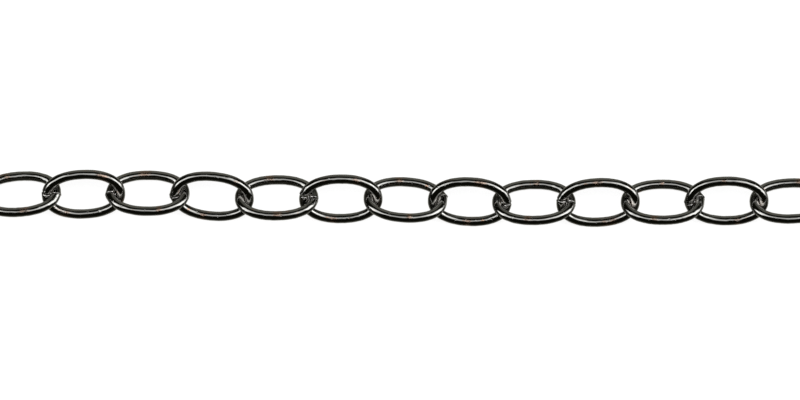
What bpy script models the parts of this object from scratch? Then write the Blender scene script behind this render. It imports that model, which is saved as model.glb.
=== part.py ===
"""Oval link cable chain: one foot of gunmetal plated iron wire links, lying straight on a floor.

Metres, +Z up. The chain runs along X, centred on the origin, and its low strands rest on Z = 0.
Each link is one piece of round wire bent to an oval, its two cut ends butted at one end of the
oval. Even links lean one way about the chain's length and odd links the other way.

Each link swings in its own plane round its inner neighbour's wire, so its origin is on that hinge,
its local Z is the hinge's axis, and its inner neighbour is its parent.
"""
from math import cos, pi, radians, sin, sqrt

import bpy
from mathutils import Matrix, Vector

MM = 0.001

# wire and link, in millimetres and degrees
WIRE = 1.7
LINK_LENGTH = 16.2
LINK_WIDTH = 10.25
PITCH = 12.6
LEAN_DEG = 30.0
BUTT_GAP = 0.2

# power of the oval: 2 is an ellipse, more has fuller shoulders
FULLNESS = 2.19

# facets of the wire: points round the oval and sides of the section
POINTS_ROUND = 24
BEVEL_RESOLUTION = 4
SECTION_SIDES = 2 * BEVEL_RESOLUTION + 4

# how each link lies, from the left one to the right one: millimetres to the side of the chain's
# line, and degrees turned out of it
LAID = (
    (0.1, -1.6), (-0.15, 1.0), (0.1, 1.6), (0.3, -0.4), (0.1, -2.4), (-0.2, 0.4),
    (0.0, 5.0), (0.15, 3.2), (0.5, 0.4), (0.05, -4.8), (-0.1, 1.4), (-0.15, 1.2),
    (-0.2, -2.8), (-0.4, -2.0), (-0.4, 1.6), (-0.25, 3.2), (-0.05, 1.0), (0.35, 0.6),
    (0.5, 3.0), (0.35, -1.6), (0.1, -1.0), (-0.1, 1.0), (0.05, 1.6), (0.15, -1.0),
)
COUNT = len(LAID)

# links whose butted ends are at the other end of the oval than their neighbours' are
BUTT_SWAPPED = (9, 14)

# the link that carries the rest, and how far a hinge lies from the point where two links hook
# together: the middle of the outer link's end curve, which slides round its neighbour's wire
ROOT = 12
HINGE_INSET = 2.2
HINGE_TO_CENTRE = PITCH / 2 - HINGE_INSET

GUNMETAL = (0.25, 0.249, 0.238, 1.0)
GLOSS_ROUGHNESS = 0.08

HALF_LENGTH = (LINK_LENGTH - WIRE) / 2
HALF_WIDTH = (LINK_WIDTH - WIRE) / 2
# the flat sided section has the area of the round wire
SECTION_RADIUS = WIRE / 2 * sqrt(2 * pi / (SECTION_SIDES * sin(2 * pi / SECTION_SIDES)))
SECTION_FLAT = SECTION_RADIUS * cos(pi / SECTION_SIDES)
CENTRE_HEIGHT = HALF_WIDTH * sin(radians(LEAN_DEG)) + SECTION_FLAT


def clear_scene():
    """Remove what the scene holds."""
    for item in list(bpy.data.objects):
        bpy.data.objects.remove(item, do_unlink=True)
    for group in list(bpy.data.collections):
        bpy.data.collections.remove(group)


def plated_iron():
    """Dark, glossy plated metal."""
    material = bpy.data.materials.new("gunmetal_plated_iron")
    material.use_nodes = True
    shader = material.node_tree.nodes["Principled BSDF"]
    shader.inputs["Base Color"].default_value = GUNMETAL
    shader.inputs["Metallic"].default_value = 1.0
    shader.inputs["Roughness"].default_value = GLOSS_ROUGHNESS
    material.diffuse_color = GUNMETAL
    return material


def rounded(value, power):
    """A sine or cosine raised to a power with its sign kept."""
    size = abs(value) ** power
    return size if value >= 0 else -size


def oval_points(butt_near):
    """Centre line of one link in its own plane, from one cut end round to the other, in mm.

    The hinge is at the origin and the link reaches along +X. The butted ends are at the end near
    the hinge or at the far one. A chord of the oval is centred on each end and on each side, so
    the middle of each side is straight and lies flat on the floor.
    """
    power = 2 / FULLNESS
    step = 2 * pi / POINTS_ROUND
    grow = 1 / cos(step / 2) ** power
    points = []
    for number in range(POINTS_ROUND):
        angle = (number + 0.5) * step
        x = HALF_LENGTH * grow * rounded(cos(angle), power)
        y = HALF_WIDTH * grow * rounded(sin(angle), power)
        points.append((x, y))
    cut = points[0][0]
    points = [(cut, BUTT_GAP / 2)] + points + [(cut, -BUTT_GAP / 2)]
    side = -1 if butt_near else 1
    return [(HINGE_TO_CENTRE + side * x, side * y) for x, y in points]


def link_curve(butt_near, material):
    """One wire link as a swept section with closed ends."""
    curve = bpy.data.curves.new("link_wire", "CURVE")
    curve.dimensions = "3D"
    curve.twist_mode = "Z_UP"
    curve.bevel_depth = SECTION_RADIUS * MM
    curve.bevel_resolution = BEVEL_RESOLUTION
    curve.render_resolution_u = 0
    curve.use_fill_caps = True
    points = oval_points(butt_near)
    spline = curve.splines.new("POLY")
    spline.points.add(len(points) - 1)
    for point, (x, y) in zip(spline.points, points):
        point.co = (x * MM, y * MM, 0.0, 1.0)
        point.tilt = pi / SECTION_SIDES
    curve.materials.append(material)
    return curve


def link_matrix(number):
    """Where link 1, 2, 3 … has its hinge: turned about Z, leaned about its length."""
    aside, turned = LAID[number - 1]
    along = (number - (COUNT + 1) / 2) * PITCH
    lean = radians(LEAN_DEG if number % 2 == 0 else -LEAN_DEG)
    place = Matrix.Translation((along * MM, aside * MM, CENTRE_HEIGHT * MM))
    turn = Matrix.Rotation(radians(turned), 4, "Z")
    tip = Matrix.Rotation(lean, 4, "X")
    outward = Matrix.Rotation(0.0 if number >= ROOT else pi, 4, "Z")
    to_hinge = Matrix.Translation((-HINGE_TO_CENTRE * MM, 0, 0))
    return place @ turn @ tip @ outward @ to_hinge


def butt_is_near(number):
    """Whether a link's butted ends are at its hinge: links left of ROOT are hinged on their right."""
    butt_left = (number % 2 == 0) != (number in BUTT_SWAPPED)
    return butt_left == (number >= ROOT)


def middle_of(matrices):
    """Middle of the laid links in X and Y."""
    points = [Vector((x * MM, y * MM, 0)) for x, y in oval_points(False) + oval_points(True)]
    placed = [matrix @ point for matrix in matrices for point in points]
    along = [point.x for point in placed]
    across = [point.y for point in placed]
    return Vector(((min(along) + max(along)) / 2, (min(across) + max(across)) / 2, 0))


def laid_matrices():
    """The place of each link's hinge, with the chain centred on the origin."""
    matrices = [link_matrix(number) for number in range(1, COUNT + 1)]
    centring = Matrix.Translation(-middle_of(matrices))
    return {number: centring @ matrix for number, matrix in enumerate(matrices, 1)}


def main():
    """Build the chain, and hang each link on its inner neighbour."""
    clear_scene()
    chain = bpy.data.collections.new("oval_link_chain")
    bpy.context.scene.collection.children.link(chain)
    material = plated_iron()
    wires = {near: link_curve(near, material) for near in (False, True)}
    matrices = laid_matrices()
    links = {}
    for number in matrices:
        links[number] = bpy.data.objects.new(f"link_{number:02d}", wires[butt_is_near(number)])
        chain.objects.link(links[number])
    for number, link in links.items():
        link.matrix_basis = matrices[number]
        if number != ROOT:
            inner = number - 1 if number > ROOT else number + 1
            link.parent = links[inner]
            link.matrix_parent_inverse = matrices[inner].inverted()


main()
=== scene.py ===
"""Oval link cable chain, dressed: smooth round wires with sheared butts and a black nickel finish.

Sizes are in millimetres and angles in degrees unless a comment says otherwise. Each link of the
frame is replaced by one swept wire in the same place, which rides on that link's body.
"""

from collections import namedtuple
from math import cos, pi, radians, sin

import bmesh
import bpy
import numpy as np
from mathutils import Matrix, Vector


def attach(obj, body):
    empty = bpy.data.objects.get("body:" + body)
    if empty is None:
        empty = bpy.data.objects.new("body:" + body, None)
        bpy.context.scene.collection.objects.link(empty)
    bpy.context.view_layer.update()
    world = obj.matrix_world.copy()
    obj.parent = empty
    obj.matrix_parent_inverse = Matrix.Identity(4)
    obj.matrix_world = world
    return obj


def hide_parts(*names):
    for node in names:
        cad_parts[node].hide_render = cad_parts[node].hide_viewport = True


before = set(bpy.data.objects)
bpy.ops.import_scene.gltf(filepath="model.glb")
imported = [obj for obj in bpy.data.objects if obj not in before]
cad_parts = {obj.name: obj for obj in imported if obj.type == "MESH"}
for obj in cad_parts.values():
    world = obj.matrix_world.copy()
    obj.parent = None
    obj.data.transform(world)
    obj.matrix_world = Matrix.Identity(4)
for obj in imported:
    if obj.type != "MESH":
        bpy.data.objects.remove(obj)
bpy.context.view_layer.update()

MM = 0.001

# the link: outer size and wire of its solid, whose centre line the finished wire follows, and the
# power of the oval, where 2 is an ellipse and more has fuller shoulders
LINK_LENGTH = 16.2
LINK_WIDTH = 10.25
SOLID_WIRE = 1.7
FULLNESS = 2.19
HALF_LENGTH = (LINK_LENGTH - SOLID_WIRE) / 2
HALF_WIDTH = (LINK_WIDTH - SOLID_WIRE) / 2

# a solid has points this near to its long axis only at its butt
BUTT_ASIDE = 0.3

# the finished wire, and how much thicker it is on the inside of the plain bend and the butted one
WIRE_RADIUS = 0.93
CROWN_BULGE = 0.03
BUTT_BULGE = 0.05
CROWN_REACH = 1.8

# long shallow waves of the wire's surface: how many, their heights and lengths, and the most
# times one goes up and down round the wire
DENTS = 8
DENT_SIZES = (0.001, 0.006)
DENT_LENGTHS = (1.0, 4.5)
DENT_TURNS = 3

# how far the butt lies from the middle of the end bend towards +Y, how far it stands out because
# the wire's last stretch is straight, and how rounded its edges are, where none is left to chance
BUTTS = {
    7: (-0.85, 0.12, 0.15), 8: (0.7, 0.05, 0.25), 9: (-0.4, 0.28, 0.25), 10: (-0.5, 0.28, 0.25),
    11: (-0.55, 0.12, 0.20), 12: (0.85, 0.10, 0.25), 13: (1.1, 0.32, 0.06), 14: (0.1, 0.08, 0.3),
    15: (-0.5, 0.10, 0.25), 16: (1.0, 0.07, 0.25), 17: (0.7, 0.16, 0.12), 18: (-0.3, 0.28, 0.2),
}
BUTT_SHIFTS = (-1.2, 1.2)
BUTT_APEXES = (0.08, 0.30)
ROUNDINGS = (0.12, 0.30)

# the slit between the two cuts, the radius of the end bend, and how much less the wire stands out
# at the butt on the inside of the bend than on its outside
BUTT_GAP = 0.05
BEND_RADIUS = 2.6
BUTT_SPREAD = 0.9

# what is left to chance at a cut end: how slanting, squeezed and pinched the cut is, how far round
# from the outside its burr is (standard deviation, in radians) and how high, as a share of the
# butt's height, and how far the end is out of line outwards and upwards
SHEARS = (0.05, 0.30)
SQUEEZES = (0.02, 0.08)
PINCHES = (0.02, 0.10)
BURR_WANDER = 0.5
BURR_SHARES = (0.1, 0.5)
OUT_STEPS = (-0.02, 0.05)
UP_STEPS = (-0.08, 0.08)

# how far from the cut these reach, and the burr's width in radians
CROOKED_REACH = 0.9
SQUEEZE_REACH = 0.5
BURR_REACH = 0.2
BURR_WIDTH = 0.4

# how many times the rounding of a cut's edge grows and shrinks round the wire, and by what share
ROUNDING_LOBES = 3
ROUNDING_UNEVEN = 0.3

# where bending tools marked the long sides of a link, on its +Y and its -Y side: how far from the
# link's middle towards +X, and half the length of the mark, where neither is left to chance
TOOL_MARKS = {
    7: ((-2.2, 0.6), (0.8, 1.0)), 8: ((3.9, 1.1), (-4.4, 1.3)), 9: ((-0.7, 1.2), (2.2, 0.5)),
    10: ((4.5, 0.5), (-1.5, 0.7)), 11: ((-1.4, 0.9), (0.2, 0.9)), 12: ((3.2, 0.9), (-1.6, 0.7)),
    13: ((-1.4, 0.7), (1.0, 0.5)), 14: ((1.9, 1.3), (-0.2, 0.7)), 15: ((0.6, 0.6), (-1.3, 0.7)),
    16: ((0.0, 1.0), (2.1, 1.5)), 17: ((0.0, 0.4), (-1.7, 0.7)), 18: ((-0.7, 0.5), (2.2, 0.6)),
}
MARK_SPOTS = (-4.0, 4.0)
MARK_LENGTHS = (0.4, 1.3)

# how far the plating is rubbed through on the inside of a link's bend without the butt, where it
# isn't left to chance, and how far the bare place lies from the bend's middle towards the floor
RUBBED_THROUGH = {
    7: 0.0, 8: 0.0, 9: 0.0, 10: 0.2, 11: 0.4, 12: 0.4, 13: 0.4, 14: 0.0, 15: 0.0, 16: 1.0, 17: 0.0,
    18: 1.0, 19: 0.0,
}
RUBBED_SHARES = (0.0, 0.6)
BARE_SHIFT = 0.7
BARE_REACH = 0.7
WEAR_REACH = 1.3

# the wear reaches from the inside of a bend over its sides: its level at the sides, and its slope
INSIDE_LEVEL = 0.5
INSIDE_SLOPE = 0.8

# seeds, each added to the link's number
END_SEED = 20
DENT_SEED = 20_000
MARK_SEED = 40_000
RUB_SEED = 60_000

# mesh of one wire: points of the centre line, sides of the section, rings of the long run, rings
# and reach of each end, with the rings crowded at the cut, and radii of the rings on the cut face
TRACK_SAMPLES = 6001
TRACK_POINTS = 2401
SIDES = 32
RUN_RINGS = 120
END_RINGS = 18
END_REACH = 1.5
END_CROWDING = 1.5
CAP_RADII = (0.86, 0.62, 0.36, 0.14)
CUT_FADE = 0.14
ANGLES = np.linspace(0, 2 * pi, SIDES, endpoint=False) + pi / 2
Ring = namedtuple("Ring", "points reach cut")

# colours of the finish
GUNMETAL = (0.250, 0.249, 0.238, 1.0)
GUNMETAL_DEEP = (0.208, 0.207, 0.198, 1.0)
WORN = (0.41, 0.40, 0.385, 1.0)
WARM_GLINT = (0.29, 0.20, 0.15, 1.0)
CUT_METAL = (0.42, 0.41, 0.40, 1.0)
BARE_IRON = (0.80, 0.75, 0.72, 1.0)

# patterns of the finish: how they are scaled along the wire and across it, and the scale, detail
# and roughness of their noise. Each link has a stretch of its own, this many millimetres farther on
Pattern = namedtuple("Pattern", "along across scale detail roughness")
WAVES = Pattern(0.45, 1.0, 0.9, 1.0, 0.5)
DRAW_LINES = Pattern(0.12, 4.0, 1.6, 3.0, 0.6)
GRAIN = Pattern(1.0, 1.0, 6.0, 3.0, 0.6)
PITS = Pattern(1.0, 1.0, 2.2, 1.0, 0.5)
NICKS = Pattern(0.6, 1.0, 1.9, 1.0, 0.5)
MOTTLE = Pattern(1.0, 1.6, 2.4, 2.0, 0.6)
SMEARS = Pattern(0.4, 1.2, 1.1, 2.0, 0.5)
GLINTS = Pattern(0.55, 1.5, 1.3, 1.5, 0.5)
PATCHES = Pattern(0.5, 1.0, 1.2, 2.0, 0.5)
PATTERN_STEP = 60

# levels of a pattern between which its spots fade in
PIT_LEVELS = (0.66, 0.80)
SMEAR_LEVELS = (0.50, 0.72)
GLINT_LEVELS = (0.67, 0.73)
DRAW_LEVELS = (0.3, 0.7)
MARK_LEVELS = (0.34, 0.52)
MARK_LEAST = 0.2
RUB_LEVELS = (0.4, 1.1)
RUB_PATCHES = 0.4

# roughness of the clean finish, and what smears, cuts and bared spots add to it
GLOSS = (0.03, 0.06)
SMEAR_DULLNESS = 0.06
CUT_DULLNESS = 0.16
BARED_DULLNESS = 0.08

# heights of the relief, in metres
RELIEF = {
    "waves": 42e-6, "draw_lines": 2e-6, "pits": -15e-6, "nicks": -16e-6, "marks": 75e-6,
    "cuts": 60e-6,
}

# floor
FLOOR_HALF = 4000.0
FLOOR_GREY = (0.25, 0.25, 0.25, 1.0)
FLOOR_ROUGHNESS = 0.9
FLOOR_GLOW = 0.9
WHITE = (1.0, 1.0, 1.0, 1.0)

# camera
FRAME_WIDTH = 156.7
CAMERA_ELEVATION = 85.4
CAMERA_ROLL = 0.69
CAMERA_DISTANCE = 1500.0
CAMERA_CLIP = (50.0, 20000.0)
SENSOR = 36.0
AIM = (5.29, -0.30, 2.96)

# soft rectangular lights in the sky: degrees to the right of the zenith and towards +Y, half the
# width and height, the widths of the soft edges in both directions, the turn, and the radiance
Light = namedtuple("Light", "right across half_wide half_high edge_wide edge_high turn radiance")
LIGHTS = {
    "left": Light(-52, -2, 10, 12, 19, 7, 13, 4.7),
    "left_inner": Light(-30, 7.5, 12, 13, 20, 6, 29, 3.0),
    "right_inner": Light(26, 10.5, 11, 14, 33, 20, -46, 4.1),
    "right": Light(53, 5, 18, 13, 9, 8, -27, 3.8),
    "overhead": Light(-1, 4, 16, 12, 14, 10, -31, 1.45),
    "right_far": Light(78, 5, 13, 14, 6, 6, -24, 1.5),
    "right_low": Light(120, 8, 18, 7, 6, 26, -11, 0.9),
}

# radiance of the dark sky, of the dim ground, which fades out towards the horizon, and of a glow
# at the back, with the heights (Z) and depths (Y) of a direction between which the two fade
SKY = 0.011
GROUND = 0.49
GROUND_FADE = (-1.1, 0.0)
BACK_GLOW = 0.31
BACK_FADE = (0.79, 1.0)
SKY_TINT = (1.02, 1.0, 0.65)
GROUND_TINT = (1.01, 1.0, 0.88)


def link_axes(node):
    """Centre, long axis, side axis and normal of a link, in world metres, from its solid.

    The long axis points to the butt.
    """
    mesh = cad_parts[node].data
    spots = np.empty(len(mesh.vertices) * 3)
    mesh.vertices.foreach_get("co", spots)
    spots = spots.reshape(-1, 3)
    _, axes = np.linalg.eigh(np.cov(spots.T))
    along = axes[:, 2] * np.sign(axes[0, 2])
    normal = axes[:, 0] * np.sign(axes[2, 0])
    side = np.cross(normal, along)
    basis = np.stack([along, side, normal], 1)
    reach = spots @ basis
    centre = (reach.min(0) + reach.max(0)) / 2
    at_butt = np.abs(reach[:, 1] - centre[1]) < BUTT_ASIDE * MM
    butt_left = reach[at_butt, 0].mean() < centre[0]
    middle = basis @ centre
    if butt_left:
        along, side = -along, -side
    return middle, along, side, normal


def oval_track():
    """Closed centre line from the butt round to itself: arc length, place and outward direction."""
    turn = np.linspace(0, 2 * pi, TRACK_SAMPLES)
    power = 2 / FULLNESS
    x = HALF_LENGTH * np.sign(np.cos(turn)) * np.abs(np.cos(turn)) ** power
    y = HALF_WIDTH * np.sign(np.sin(turn)) * np.abs(np.sin(turn)) ** power
    step = np.hypot(np.diff(x), np.diff(y))
    length = np.concatenate([[0], np.cumsum(step)])
    even = np.linspace(0, length[-1], TRACK_POINTS)
    x = np.interp(even, length, x)
    y = np.interp(even, length, y)
    dx = np.gradient(x)
    dy = np.gradient(y)
    dx[0] = dx[-1] = 0
    size = np.hypot(dx, dy)
    return even, x, y, dy / size, -dx / size


TRACK = oval_track()
TRACK_LENGTH = TRACK[0][-1]


def on_track(reach):
    """Place and outward direction at arc lengths along the centre line, each (..., 2)."""
    even, x, y, out_x, out_y = TRACK
    reach = reach % TRACK_LENGTH
    place = np.stack([np.interp(reach, even, x), np.interp(reach, even, y)], -1)
    outward = np.stack([np.interp(reach, even, out_x), np.interp(reach, even, out_y)], -1)
    return place, outward


def to_ends(spot):
    """Distances along the wire to the middle of the butted bend and to that of the other bend."""
    spot = spot % TRACK_LENGTH
    return np.minimum(spot, TRACK_LENGTH - spot), np.abs(spot - TRACK_LENGTH / 2)


def dents_of(number):
    """Long shallow waves of a link's surface: size, waves along, waves round and phase of each."""
    random = np.random.default_rng(DENT_SEED + number)
    return [(random.uniform(*DENT_SIZES), 2 * pi / random.uniform(*DENT_LENGTHS),
             int(random.integers(0, DENT_TURNS + 1)), random.uniform(0, 2 * pi))
            for _ in range(DENTS)]


def radius_at(spot, dents):
    """Radius round the wire, which is a little thicker on the inside of the two end bends."""
    to_butt, to_bend = to_ends(spot)
    bulge = CROWN_BULGE * np.exp(-(to_bend / CROWN_REACH) ** 2) \
        + BUTT_BULGE * np.exp(-(to_butt / CROWN_REACH) ** 2)
    radius = WIRE_RADIUS + bulge * np.maximum(0, -np.cos(ANGLES))
    for size, along, round_it, phase in dents:
        radius = radius + size * np.cos(along * (spot % TRACK_LENGTH) + round_it * ANGLES + phase)
    return radius


def beside_track(spot, out, up):
    """Points in the link's own axes, out from the centre line and up from the link's plane."""
    place, outward = on_track(spot)
    return np.stack([place[..., 0] + out * outward[..., 0],
                     place[..., 1] + out * outward[..., 1], up], -1)


def run_points(spot, dents):
    """Points round the wire at one arc length."""
    radius = radius_at(spot, dents)
    return beside_track(spot, radius * np.cos(ANGLES), radius * np.sin(ANGLES))


def cut_depth(end, share):
    """How far a pinched and sheared wire end falls back from its foremost point."""
    ridge = np.abs(np.cos(ANGLES - end["ridge"])) * share * end["pinch"]
    shear = -share * np.cos(ANGLES - end["shear_at"]) / 2 * end["shear"]
    return ridge + shear


def end_points(end, reach, share=1.0):
    """Points round a wire end, at a reach from the cut and a share of the wire's radius."""
    depth = cut_depth(end, share)
    back = depth + reach * np.maximum(0, 1 - depth / END_REACH)
    spot = end["cut_at"] + end["way"] * back
    crooked = np.exp(-(reach / CROOKED_REACH) ** 2)

    straight = np.sqrt(2 * BEND_RADIUS * end["apex"])
    lifted = end["apex"] * np.maximum(0, 1 - reach / straight) ** 2
    lifted = lifted * (1 - BUTT_SPREAD * (1 - np.cos(ANGLES)) / 2)

    from_ridge = ANGLES - end["ridge"]
    squeeze = 1 - end["squeeze"] * np.exp(-(reach / SQUEEZE_REACH) ** 2) * np.cos(2 * from_ridge)
    rounding = end["rounding"] * (1 + ROUNDING_UNEVEN * np.cos(ROUNDING_LOBES * from_ridge))
    from_edge = np.maximum(0, rounding - reach)
    fallen = rounding - np.sqrt(np.maximum(0, rounding ** 2 - from_edge ** 2))

    apart = (ANGLES - end["burr_at"] + pi) % (2 * pi) - pi
    burr = end["burr"] * np.exp(-(apart / BURR_WIDTH) ** 2) * np.exp(-(reach / BURR_REACH) ** 2)

    radius = share * (radius_at(spot, end["dents"]) * squeeze - fallen + burr)
    return beside_track(spot, radius * np.cos(ANGLES) + crooked * end["out"] + lifted,
                        radius * np.sin(ANGLES) + crooked * end["up"])


def wire_ends(number, facing):
    """The two cut ends of a link: the same cut seen from both sides, then bent a little apart.

    facing is 1 where the link's own side axis points to +Y, and -1 where it points to -Y.
    """
    random = np.random.default_rng(END_SEED + number)
    shift = random.uniform(*BUTT_SHIFTS)
    apex = random.uniform(*BUTT_APEXES)
    rounding = random.uniform(*ROUNDINGS)
    shift, apex, rounding = BUTTS.get(number, (shift, apex, rounding))
    shear_at = random.uniform(0, 2 * pi)
    shear = random.uniform(*SHEARS)
    ends = []
    for way in (1, -1):
        ends.append({
            "way": way,
            "cut_at": facing * shift + way * BUTT_GAP / 2,
            "ridge": random.uniform(0, pi),
            "squeeze": random.uniform(*SQUEEZES),
            "pinch": random.uniform(*PINCHES),
            "shear_at": shear_at if way > 0 else shear_at + pi,
            "shear": shear,
            "burr_at": random.normal(0, BURR_WANDER),
            "burr": apex * random.uniform(*BURR_SHARES),
            "apex": apex,
            "rounding": rounding,
            "dents": dents_of(number),
            "out": random.uniform(*OUT_STEPS),
            "up": random.uniform(*UP_STEPS),
        })
    return ends


def wire_rings(start, finish):
    """Rings of points from one cut end round to the other, in the link's own axes.

    Each has its reach along the centre line, and how much it belongs to the cut, from 0 to 1.
    """
    reaches = END_REACH * (np.arange(END_RINGS) / END_RINGS) ** END_CROWDING
    fades = np.exp(-reaches / CUT_FADE)
    run = np.linspace(start["cut_at"] + END_REACH,
                      finish["cut_at"] + TRACK_LENGTH - END_REACH, RUN_RINGS)
    rings = [Ring(end_points(start, 0.0, share), 0.0, 1.0) for share in reversed(CAP_RADII)]
    for reach, fade in zip(reaches, fades):
        rings.append(Ring(end_points(start, reach), reach, fade))
    for spot in run:
        rings.append(Ring(run_points(spot, start["dents"]), spot, 0.0))
    for reach, fade in zip(reversed(reaches), reversed(fades)):
        rings.append(Ring(end_points(finish, reach), TRACK_LENGTH - reach, fade))
    rings += [Ring(end_points(finish, 0.0, share), TRACK_LENGTH, 1.0) for share in CAP_RADII]
    return rings


def swept_mesh(name, rings):
    """A closed tube through rings of world points, smooth but for the sharp rims of its cuts."""
    built = bmesh.new()
    rows = [[built.verts.new(spot) for spot in ring] for ring in rings]
    first_tip, last_tip = [built.verts.new(ring.mean(0)) for ring in (rings[0], rings[-1])]
    for row, following in zip(rows, rows[1:]):
        for column in range(SIDES):
            beside = (column + 1) % SIDES
            face = built.faces.new((row[column], row[beside], following[beside], following[column]))
            face.smooth = True
    for column in range(SIDES):
        beside = (column + 1) % SIDES
        built.faces.new((rows[0][beside], rows[0][column], first_tip))
        built.faces.new((rows[-1][column], rows[-1][beside], last_tip))
    for rim in (rows[len(CAP_RADII)], rows[-1 - len(CAP_RADII)]):
        for column in range(SIDES):
            edge = built.edges.get((rim[column], rim[(column + 1) % SIDES]))
            edge.smooth = False
    bmesh.ops.recalc_face_normals(built, faces=built.faces)
    mesh = bpy.data.meshes.new(name)
    built.to_mesh(mesh)
    built.free()
    return mesh


def tool_marks(number, facing, along_x):
    """Middles, as arc lengths, and half lengths of the tool marks on a link's two long sides.

    facing is 1 where the link's own side axis points to +Y, and -1 where it points to -Y, and
    along_x is 1 where its long axis points to +X, and -1 where it points to -X.
    """
    random = np.random.default_rng(MARK_SEED + number)
    chance = [(random.uniform(*MARK_SPOTS), random.uniform(*MARK_LENGTHS)) for _ in range(2)]
    found = []
    for world_side, (offset, half) in zip((1, -1), TOOL_MARKS.get(number, chance)):
        if world_side == facing:
            found.append((TRACK_LENGTH / 4 - along_x * offset, half))
        else:
            found.append((TRACK_LENGTH * 3 / 4 + along_x * offset, half))
    return found


def wire_places(number, rings):
    """Each vertex's place on the straightened wire, with every link on a stretch of its own."""
    reach = np.array([[ring.reach] for ring in rings]) + PATTERN_STEP * number
    out = WIRE_RADIUS * np.cos(ANGLES)
    up = WIRE_RADIUS * np.sin(ANGLES)
    places = np.stack(np.broadcast_arrays(reach, out, up), -1).reshape(-1, 3)
    tips = [(spot + PATTERN_STEP * number, 0, 0) for spot in (0, TRACK_LENGTH)]
    return np.concatenate([places, tips])


def wire_marks(number, rings, along, side):
    """How much each vertex is cut, worn, rubbed bare and scarred by a tool, from 0 to 1."""
    reach = np.array([[ring.reach] for ring in rings])
    cut = np.array([[ring.cut] for ring in rings])
    worn = np.exp(-(np.minimum(*to_ends(reach)) / WEAR_REACH) ** 2)
    inside = np.clip(INSIDE_LEVEL - INSIDE_SLOPE * np.cos(ANGLES), 0, 1)
    chance = np.random.default_rng(RUB_SEED + number).uniform(*RUBBED_SHARES)
    bare_at = TRACK_LENGTH / 2 + np.sign(side[2]) * BARE_SHIFT
    bare = RUBBED_THROUGH.get(number, chance) * np.exp(-((reach - bare_at) / BARE_REACH) ** 2)
    tools = tool_marks(number, np.sign(side[1]), np.sign(along[0]))
    scarred = sum(np.exp(-((reach - spot) / half) ** 4) for spot, half in tools)
    rounds = {
        "cut": cut * np.ones(SIDES),
        "wear": worn * inside,
        "bare": bare * inside,
        "scar": scarred * np.sin(ANGLES) ** 2,
    }
    tips = {"cut": 1.0, "wear": 0.0, "bare": 0.0, "scar": 0.0}
    return {name: np.append(rounds[name], [tips[name]] * 2) for name in rounds}


def give_attributes(mesh, places, marks):
    """Store the values for the finish. All are made first, since a new one moves the others."""
    mesh.attributes.new("wire_place", "FLOAT_VECTOR", "POINT")
    for name in marks:
        mesh.attributes.new(name, "FLOAT", "POINT")
    mesh.attributes["wire_place"].data.foreach_set("vector", places.ravel().astype(np.float32))
    for name, values in marks.items():
        mesh.attributes[name].data.foreach_set("value", values.astype(np.float32))


def wire_mesh(number, node):
    """One link's wire as a closed swept mesh, in world metres."""
    middle, along, side, normal = link_axes(node)
    rings = wire_rings(*wire_ends(number, np.sign(side[1])))
    axes = np.stack([along, side, normal])
    mesh = swept_mesh(f"wire_{number:02d}", [middle + MM * ring.points @ axes for ring in rings])
    give_attributes(mesh, wire_places(number, rings), wire_marks(number, rings, along, side))
    return mesh


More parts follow.
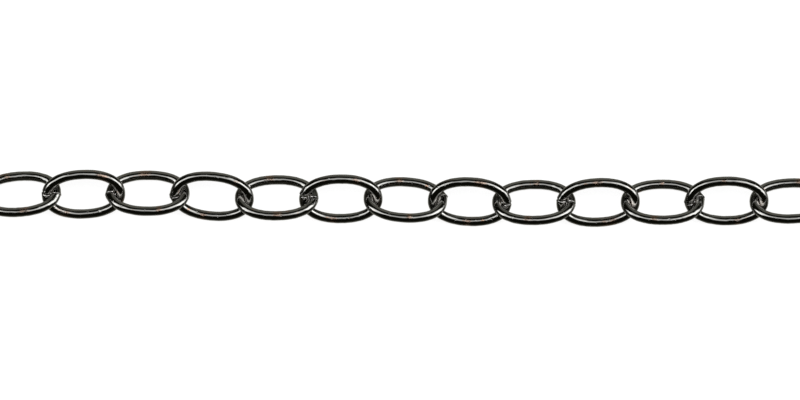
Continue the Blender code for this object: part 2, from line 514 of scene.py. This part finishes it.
class Nodes:
    """Short way to build a material's or a world's shader: adds nodes and joins their sockets."""

    def __init__(self, holder):
        holder.use_nodes = True
        self.holder = holder
        self.tree = holder.node_tree
        self.shader = self.tree.nodes.get("Principled BSDF")

    def join(self, target, value):
        """Set a socket to a value, or link another socket to it."""
        if isinstance(value, bpy.types.NodeSocket):
            self.tree.links.new(value, target)
        else:
            target.default_value = value

    def attribute(self, name, output):
        """A value that is stored on the mesh."""
        node = self.tree.nodes.new("ShaderNodeAttribute")
        node.attribute_name = name
        return node.outputs[output]

    def noise(self, place, pattern):
        """A pattern's noise, from 0 to 1."""
        stretched = self.tree.nodes.new("ShaderNodeMapping")
        self.join(stretched.inputs["Vector"], place)
        stretched.inputs["Scale"].default_value = (pattern.along, pattern.across, pattern.across)
        node = self.tree.nodes.new("ShaderNodeTexNoise")
        self.join(node.inputs["Vector"], stretched.outputs["Vector"])
        node.inputs["Scale"].default_value = pattern.scale
        node.inputs["Detail"].default_value = pattern.detail
        node.inputs["Roughness"].default_value = pattern.roughness
        return node.outputs["Fac"]

    def window(self, value, levels, to_low=0.0, to_high=1.0):
        """Map a range of a value onto another one, smoothly and clamped."""
        node = self.tree.nodes.new("ShaderNodeMapRange")
        node.interpolation_type = "SMOOTHSTEP"
        self.join(node.inputs["Value"], value)
        node.inputs["From Min"].default_value, node.inputs["From Max"].default_value = levels
        node.inputs["To Min"].default_value = to_low
        node.inputs["To Max"].default_value = to_high
        return node.outputs["Result"]

    def math(self, operation, first, second=0.0):
        """One operation on one or two numbers."""
        node = self.tree.nodes.new("ShaderNodeMath")
        node.operation = operation
        self.join(node.inputs[0], first)
        self.join(node.inputs[1], second)
        return node.outputs["Value"]

    def parts(self, vector):
        """X, Y and Z of a vector."""
        node = self.tree.nodes.new("ShaderNodeSeparateXYZ")
        self.join(node.inputs["Vector"], vector)
        return node.outputs["X"], node.outputs["Y"], node.outputs["Z"]

    def added(self, first, second):
        """Sum of two vectors."""
        node = self.tree.nodes.new("ShaderNodeVectorMath")
        node.operation = "ADD"
        self.join(node.inputs[0], first)
        self.join(node.inputs[1], second)
        return node.outputs["Vector"]

    def scaled(self, vector, factor):
        """A vector times a number."""
        node = self.tree.nodes.new("ShaderNodeVectorMath")
        node.operation = "SCALE"
        self.join(node.inputs[0], vector)
        self.join(node.inputs["Scale"], factor)
        return node.outputs["Vector"]

    def mixed(self, factor, first, second):
        """A colour between two others."""
        node = self.tree.nodes.new("ShaderNodeMix")
        node.data_type = "RGBA"
        self.join(node.inputs["Factor"], factor)
        self.join(node.inputs["A"], first)
        self.join(node.inputs["B"], second)
        return node.outputs["Result"]

    def bump(self, height, distance, normal=None):
        """Relief of a height from 0 to 1, distance in metres."""
        node = self.tree.nodes.new("ShaderNodeBump")
        self.join(node.inputs["Height"], height)
        node.inputs["Distance"].default_value = distance
        if normal is not None:
            self.join(node.inputs["Normal"], normal)
        return node.outputs["Normal"]


def black_nickel():
    """Glossy dark plating over drawn wire, smeared, worn and marked, with a few warm glints."""
    nodes = Nodes(bpy.data.materials.new("gunmetal_plated_iron_finish"))
    place = nodes.attribute("wire_place", "Vector")
    marks = ("cut", "wear", "bare", "scar")
    cut, wear, bare, scar = [nodes.attribute(name, "Fac") for name in marks]
    draw_lines = nodes.noise(place, DRAW_LINES)
    grain = nodes.noise(place, GRAIN)
    smears = nodes.window(nodes.noise(place, SMEARS), SMEAR_LEVELS)
    glints = nodes.window(nodes.noise(place, GLINTS), GLINT_LEVELS)
    patches = nodes.noise(place, PATCHES)

    rubbed = nodes.math("ADD", wear, nodes.math("MULTIPLY", patches, RUB_PATCHES))
    scarred = nodes.math("MULTIPLY", scar, nodes.window(patches, MARK_LEVELS, MARK_LEAST))
    bared = nodes.math("MAXIMUM", glints, scarred)
    colour = nodes.mixed(smears, GUNMETAL, GUNMETAL_DEEP)
    colour = nodes.mixed(nodes.window(rubbed, RUB_LEVELS), colour, WORN)
    colour = nodes.mixed(bare, colour, BARE_IRON)
    colour = nodes.mixed(bared, colour, WARM_GLINT)
    colour = nodes.mixed(nodes.math("MULTIPLY", cut, grain), colour, CUT_METAL)
    nodes.join(nodes.shader.inputs["Base Color"], colour)
    nodes.shader.inputs["Metallic"].default_value = 1.0

    roughness = nodes.window(draw_lines, DRAW_LEVELS, *GLOSS)
    for spots, dullness in ((smears, SMEAR_DULLNESS), (cut, CUT_DULLNESS), (bared, BARED_DULLNESS)):
        roughness = nodes.math("ADD", roughness, nodes.math("MULTIPLY", spots, dullness))
    nodes.join(nodes.shader.inputs["Roughness"], roughness)

    heights = {
        "waves": nodes.noise(place, WAVES),
        "draw_lines": draw_lines,
        "pits": nodes.window(nodes.noise(place, PITS), PIT_LEVELS),
        "nicks": nodes.window(nodes.noise(place, NICKS), PIT_LEVELS),
        "marks": nodes.math("MULTIPLY", nodes.noise(place, MOTTLE), scar),
        "cuts": nodes.math("MULTIPLY", grain, cut),
    }
    relief = None
    for name, height in heights.items():
        relief = nodes.bump(height, RELIEF[name], relief)
    nodes.join(nodes.shader.inputs["Normal"], relief)
    return nodes.holder


def pale_floor():
    """A large matt sheet under the chain. The wires mirror the dim ground of the sky instead."""
    half = FLOOR_HALF * MM
    corners = [(-half, -half, 0), (half, -half, 0), (half, half, 0), (-half, half, 0)]
    mesh = bpy.data.meshes.new("floor")
    mesh.from_pydata(corners, [], [(0, 1, 2, 3)])
    floor = bpy.data.objects.new("floor", mesh)
    bpy.context.scene.collection.objects.link(floor)
    nodes = Nodes(bpy.data.materials.new("pale_sheet"))
    nodes.shader.inputs["Base Color"].default_value = FLOOR_GREY
    nodes.shader.inputs["Roughness"].default_value = FLOOR_ROUGHNESS
    nodes.shader.inputs["Specular IOR Level"].default_value = 0.0
    nodes.shader.inputs["Emission Color"].default_value = WHITE
    nodes.shader.inputs["Emission Strength"].default_value = FLOOR_GLOW
    mesh.materials.append(nodes.holder)
    floor.visible_glossy = False


def soft_light(nodes, spread, light):
    """Radiance of one soft window of light over the directions around the object."""
    local = nodes.tree.nodes.new("ShaderNodeMapping")
    local.vector_type = "TEXTURE"
    nodes.join(local.inputs["Vector"], spread)
    local.inputs["Location"].default_value = (light.right, light.across, 0.0)
    local.inputs["Rotation"].default_value = (0.0, 0.0, radians(light.turn))
    x, y, _ = nodes.parts(local.outputs["Vector"])
    radiance = light.radiance
    spans = ((x, light.half_wide, light.edge_wide), (y, light.half_high, light.edge_high))
    for away, half, edge in spans:
        fade = (half - edge / 2, half + edge / 2)
        shade = nodes.window(nodes.math("ABSOLUTE", away), fade, 1.0, 0.0)
        radiance = nodes.math("MULTIPLY", shade, radiance)
    return radiance


def studio():
    """Soft lights overhead and dark surroundings, as a sky, with plain colour handling."""
    world = bpy.data.worlds.new("studio")
    nodes = Nodes(world)
    direction = nodes.tree.nodes.new("ShaderNodeTexCoord").outputs["Generated"]
    x, y, z = nodes.parts(direction)
    to_degrees = 180 / pi
    right = nodes.math("MULTIPLY", nodes.math("ARCTAN2", x, z), to_degrees)
    across = nodes.math("MULTIPLY", nodes.math("ARCSINE", y), to_degrees)
    spread = nodes.tree.nodes.new("ShaderNodeCombineXYZ")
    nodes.join(spread.inputs["X"], right)
    nodes.join(spread.inputs["Y"], across)

    ground = nodes.window(z, GROUND_FADE, GROUND, 0.0)
    ground = nodes.math("ADD", ground, nodes.window(y, BACK_FADE, 0.0, BACK_GLOW))
    dim = nodes.added([SKY * share for share in SKY_TINT], nodes.scaled(GROUND_TINT, ground))
    lit = 0.0
    for light in LIGHTS.values():
        lit = nodes.math("ADD", soft_light(nodes, spread.outputs["Vector"], light), lit)
    backdrop = nodes.tree.nodes["Background"]
    nodes.join(backdrop.inputs["Color"], nodes.added(dim, nodes.scaled(WHITE[:3], lit)))
    bpy.context.scene.world = world
    bpy.context.scene.view_settings.view_transform = "Standard"


def camera():
    """Long lens looking nearly straight down, from a little to the -Y side."""
    lift = radians(CAMERA_ELEVATION)
    back = Vector((0, -cos(lift), sin(lift)))
    level_up = Vector((0, sin(lift), cos(lift)))
    level_right = Vector((1, 0, 0))
    roll = radians(CAMERA_ROLL)
    up = level_up * cos(roll) - level_right * sin(roll)
    right = level_right * cos(roll) + level_up * sin(roll)
    lens = bpy.data.cameras.new("camera")
    lens.sensor_width = SENSOR
    lens.lens = SENSOR * CAMERA_DISTANCE / FRAME_WIDTH
    lens.clip_start, lens.clip_end = [distance * MM for distance in CAMERA_CLIP]
    holder = bpy.data.objects.new("camera", lens)
    place = Matrix.Translation((Vector(AIM) + back * CAMERA_DISTANCE) * MM)
    holder.matrix_world = place @ Matrix((right, up, back)).transposed().to_4x4()
    bpy.context.scene.collection.objects.link(holder)
    bpy.context.scene.camera = holder


def dress_links():
    """Replace each link's solid by its finished wire."""
    finish = black_nickel()
    for node in sorted(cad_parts):
        number = int(node.split("_")[-1])
        wire = bpy.data.objects.new(f"{node}_wire", wire_mesh(number, node))
        wire.data.materials.append(finish)
        bpy.context.scene.collection.objects.link(wire)
        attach(wire, node)
        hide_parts(node)


dress_links()
pale_floor()
studio()
camera()
